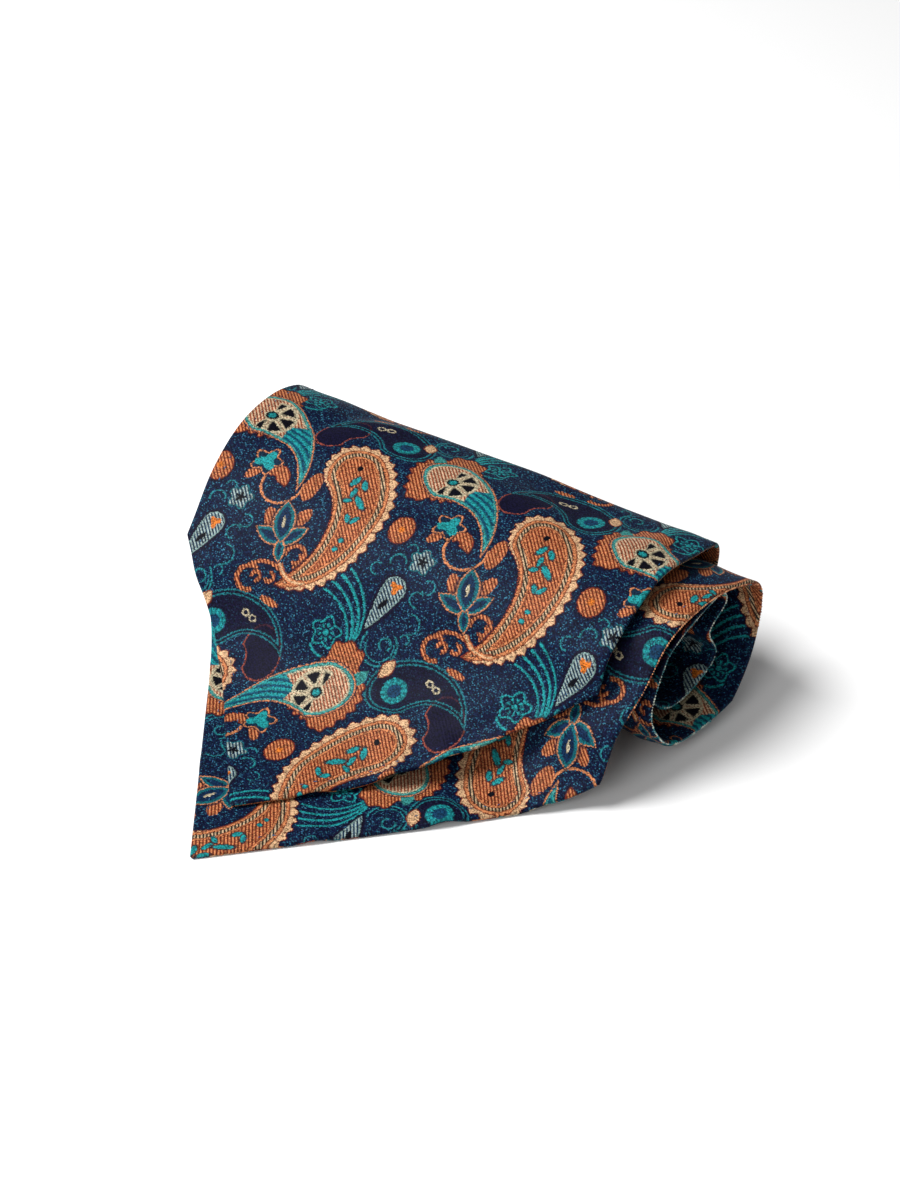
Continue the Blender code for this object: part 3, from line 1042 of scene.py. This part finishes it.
def make_lights():
    world = bpy.data.worlds.new("studio")
    world.use_nodes = True
    background = world.node_tree.nodes["Background"]
    background.inputs["Color"].default_value = (1, 1, 1, 1)
    background.inputs["Strength"].default_value = WORLD_LIGHT
    bpy.context.scene.world = world
    soft_light("key", (-0.75, -0.45, 1.3), size=0.9, power=37)
    soft_light("fill", (0.15, -1.4, 0.8), size=0.9, power=9)
    bpy.context.scene.view_settings.view_transform = "Standard"


def hem_lines(shell, inset):
    """Lines on the flat cut beside the shell's edges: across, along, and the distance from the edge.

    The two side edges come first."""
    low = shell.corner if shell.corner > 0 else shell.start
    along = np.arange(low + 2 * inset, shell.end - inset, STEP)
    left, right = half_widths(shell.strip, along)
    lines = [(inset - left, along), (right - inset, along)]
    if shell.corner > 0:
        along = np.arange(TIP_INSETS * inset, shell.corner, STEP)
        left, right = half_widths(shell.strip, along)
        inward = POINT_INSET * inset
        lines += [(inward - left, along), (right - inward, along)]
    return [(across, along, np.full_like(along, inset)) for across, along in lines]


def row_of_stitches():
    """A node tree that sets stitches along each line of a mesh, in even steps."""
    tree = bpy.data.node_groups.new("row_of_stitches", "GeometryNodeTree")
    tree.interface.new_socket("Lines", in_out="INPUT", socket_type="NodeSocketGeometry")
    for name in ("Spacing", "Stitch Length", "Stitch Width", "Unevenness"):
        tree.interface.new_socket(name, in_out="INPUT", socket_type="NodeSocketFloat")
    tree.interface.new_socket("Seed", in_out="INPUT", socket_type="NodeSocketInt")
    tree.interface.new_socket("Thread", in_out="INPUT", socket_type="NodeSocketMaterial")
    tree.interface.new_socket("Stitches", in_out="OUTPUT", socket_type="NodeSocketGeometry")
    entry = tree.nodes.new("NodeGroupInput")
    given = {socket.name: Thread(tree, socket) for socket in entry.outputs}
    start = given["Lines"]
    curve = start.node("GeometryNodeMeshToCurve", {}, {"Mesh": start})
    points = start.node("GeometryNodeResampleCurve", {"mode": "LENGTH"},
                        {"Curve": curve, "Length": given["Spacing"]})
    ahead = start.node("GeometryNodeInputTangent", {}, {})
    lean = start.node("FunctionNodeRandomValue", {"data_type": "FLOAT_VECTOR"},
                      {0: (-1, -1, -1), 1: (1, 1, 1), "Seed": given["Seed"]})
    lean = start.node("ShaderNodeVectorMath", {"operation": "SCALE"}, {0: lean, 3: given["Unevenness"]})
    ahead = start.node("ShaderNodeVectorMath", {"operation": "ADD"}, {0: ahead, 1: lean})
    turn = start.node("FunctionNodeAlignRotationToVector", {"axis": "X"}, {"Vector": ahead})
    bead = start.node("GeometryNodeMeshUVSphere", {}, {"Segments": 6, "Rings": 5, "Radius": 0.5})
    size = start.node("ShaderNodeCombineXYZ", {}, {
        0: given["Stitch Length"], 1: given["Stitch Width"], 2: given["Stitch Width"]})
    bead = start.node("GeometryNodeTransform", {}, {"Geometry": bead, "Scale": size})
    low = given["Unevenness"].scaled(-1.0, 1.0)
    high = given["Unevenness"].scaled(1.0, 1.0)
    scale = start.node("FunctionNodeRandomValue", {"data_type": "FLOAT"},
                       {2: low, 3: high, "Seed": given["Seed"]}, 1)
    stitches = start.node("GeometryNodeInstanceOnPoints", {}, {
        "Points": points, "Instance": bead, "Rotation": turn, "Scale": scale})
    stitches = start.node("GeometryNodeRealizeInstances", {}, {0: stitches})
    stitches = start.node("GeometryNodeSetShadeSmooth", {}, {0: stitches})
    stitches = start.node("GeometryNodeSetMaterial", {}, {
        "Geometry": stitches, "Material": given["Thread"]})
    leave = tree.nodes.new("NodeGroupOutput")
    tree.links.new(stitches.socket, leave.inputs[0])
    return tree


def make_stitches(name, lines, tree, sizes, shift):
    """Stitches along lines of points, given in millimetres, as one plain mesh."""
    points = np.concatenate(lines)
    points[:, 2] = np.maximum(points[:, 2], sizes["Stitch Width"] / MM * STITCH_REST)
    starts = np.cumsum([0] + [len(line) for line in lines])
    edges = [(i, i + 1) for low, high in zip(starts, starts[1:]) for i in range(low, high - 1)]
    mesh = bpy.data.meshes.new(name)
    mesh.from_pydata(((points + shift) * MM).tolist(), edges, [])
    item = add_object(name, mesh)
    modifier = item.modifiers.new("stitches", "NODES")
    modifier.node_group = tree
    for socket in tree.interface.items_tree:
        if socket.name in sizes:
            modifier[socket.identifier] = sizes[socket.name]
    bpy.context.view_layer.update()
    evaluated = item.evaluated_get(bpy.context.evaluated_depsgraph_get())
    sewn = bpy.data.meshes.new_from_object(evaluated)
    item.modifiers.clear()
    item.data = sewn
    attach(item, "root")
    return item


def thread_material(name, low, high, size):
    """Fine twisted thread whose colour changes every few stitches."""
    material, tree, shader = new_material(name, {"Roughness": 0.55, "Specular IOR Level": 0.2})
    start = Thread(tree, None)
    here = start.node("ShaderNodeTexCoord", {}, {}, 3)
    cloud = start.node("ShaderNodeTexNoise", {}, {"Vector": here, "Scale": size, "Detail": 2.0})
    share = cloud.past(0.5, 0.12)
    colour = start.node("ShaderNodeMix", {"data_type": "RGBA"}, {
        0: share, 6: linear(low), 7: linear(high)}, 2)
    tree.links.new(colour.socket, shader.inputs["Base Color"])
    twist = start.node("ShaderNodeTexWave", {"bands_direction": "DIAGONAL"}, {
        "Vector": here, "Scale": TWIST_SCALE})
    bump = start.node("ShaderNodeBump", {}, {
        "Strength": 0.4, "Distance": TWIST_RELIEF * MM, "Height": twist})
    tree.links.new(bump.socket, shader.inputs["Normal"])
    return material


def sew(shell, tree, hem_thread, edge_thread, shift):
    """Pick stitches inside the shell's hems, and the overcast edges of the under strip; on the inner turns
    the pale overcast thread is also a painted highlight of their lit edges.
    """
    lines = []
    for across, along, gap in hem_lines(shell, PICK_INSET):
        outer, inner = cloth_sides(shell, across, along, gap)
        lines += [outer, inner]
    made = [make_stitches(shell.name + "_stitches", lines, tree,
                          {**PICK_STITCH, "Thread": hem_thread}, shift)]
    # overcast edges; the pale thread on the inner turns also paints the highlight of their lit edges
    if shell.strip.name == "under":
        first, last = WARM_EDGE if shell.corner > 0 else (shell.start, shell.end)
        lines = []
        for across, along, gap in hem_lines(shell, 0.0)[:2]:
            here = (along > first) & (along < last)
            lines.append(cloth_sides(shell, across[here], along[here], gap[here])[0])
        made.append(make_stitches(shell.name + "_overcast", lines, tree,
                                  {**OVERCAST_STITCH, "Thread": edge_thread}, shift))
    return made


def make_cloth(shift):
    """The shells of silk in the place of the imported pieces, and their stitches."""
    silk = jacquard_silk()
    tree = row_of_stitches()
    hem_thread = thread_material("hem_thread", *HEM_THREAD)
    # pale thread of the inner rims, also a painted highlight of their lit edges
    edge_thread = thread_material("edge_thread", *EDGE_THREAD_AND_HIGHLIGHT)
    warm_thread = thread_material("warm_thread", *WARM_THREAD)
    for shell in SHELLS:
        cloth = add_object(shell.name + "_silk", cloth_mesh(shell, shift))
        cloth.data.materials.append(silk)
        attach(cloth, "root")
        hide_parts(shell.name)
        left, right = half_widths(shell.strip, np.linspace(shell.start, shell.end, 200))
        stretch = shell.end - shell.start
        area = (left + right).mean() * stretch * MM * MM
        edging = warm_thread if shell.corner > 0 else edge_thread
        stretch * MM
        sew(shell, tree, hem_thread, edging, shift)


shift = frame_shift()
make_cloth(shift)
make_floor()
make_camera(shift)
make_lights()
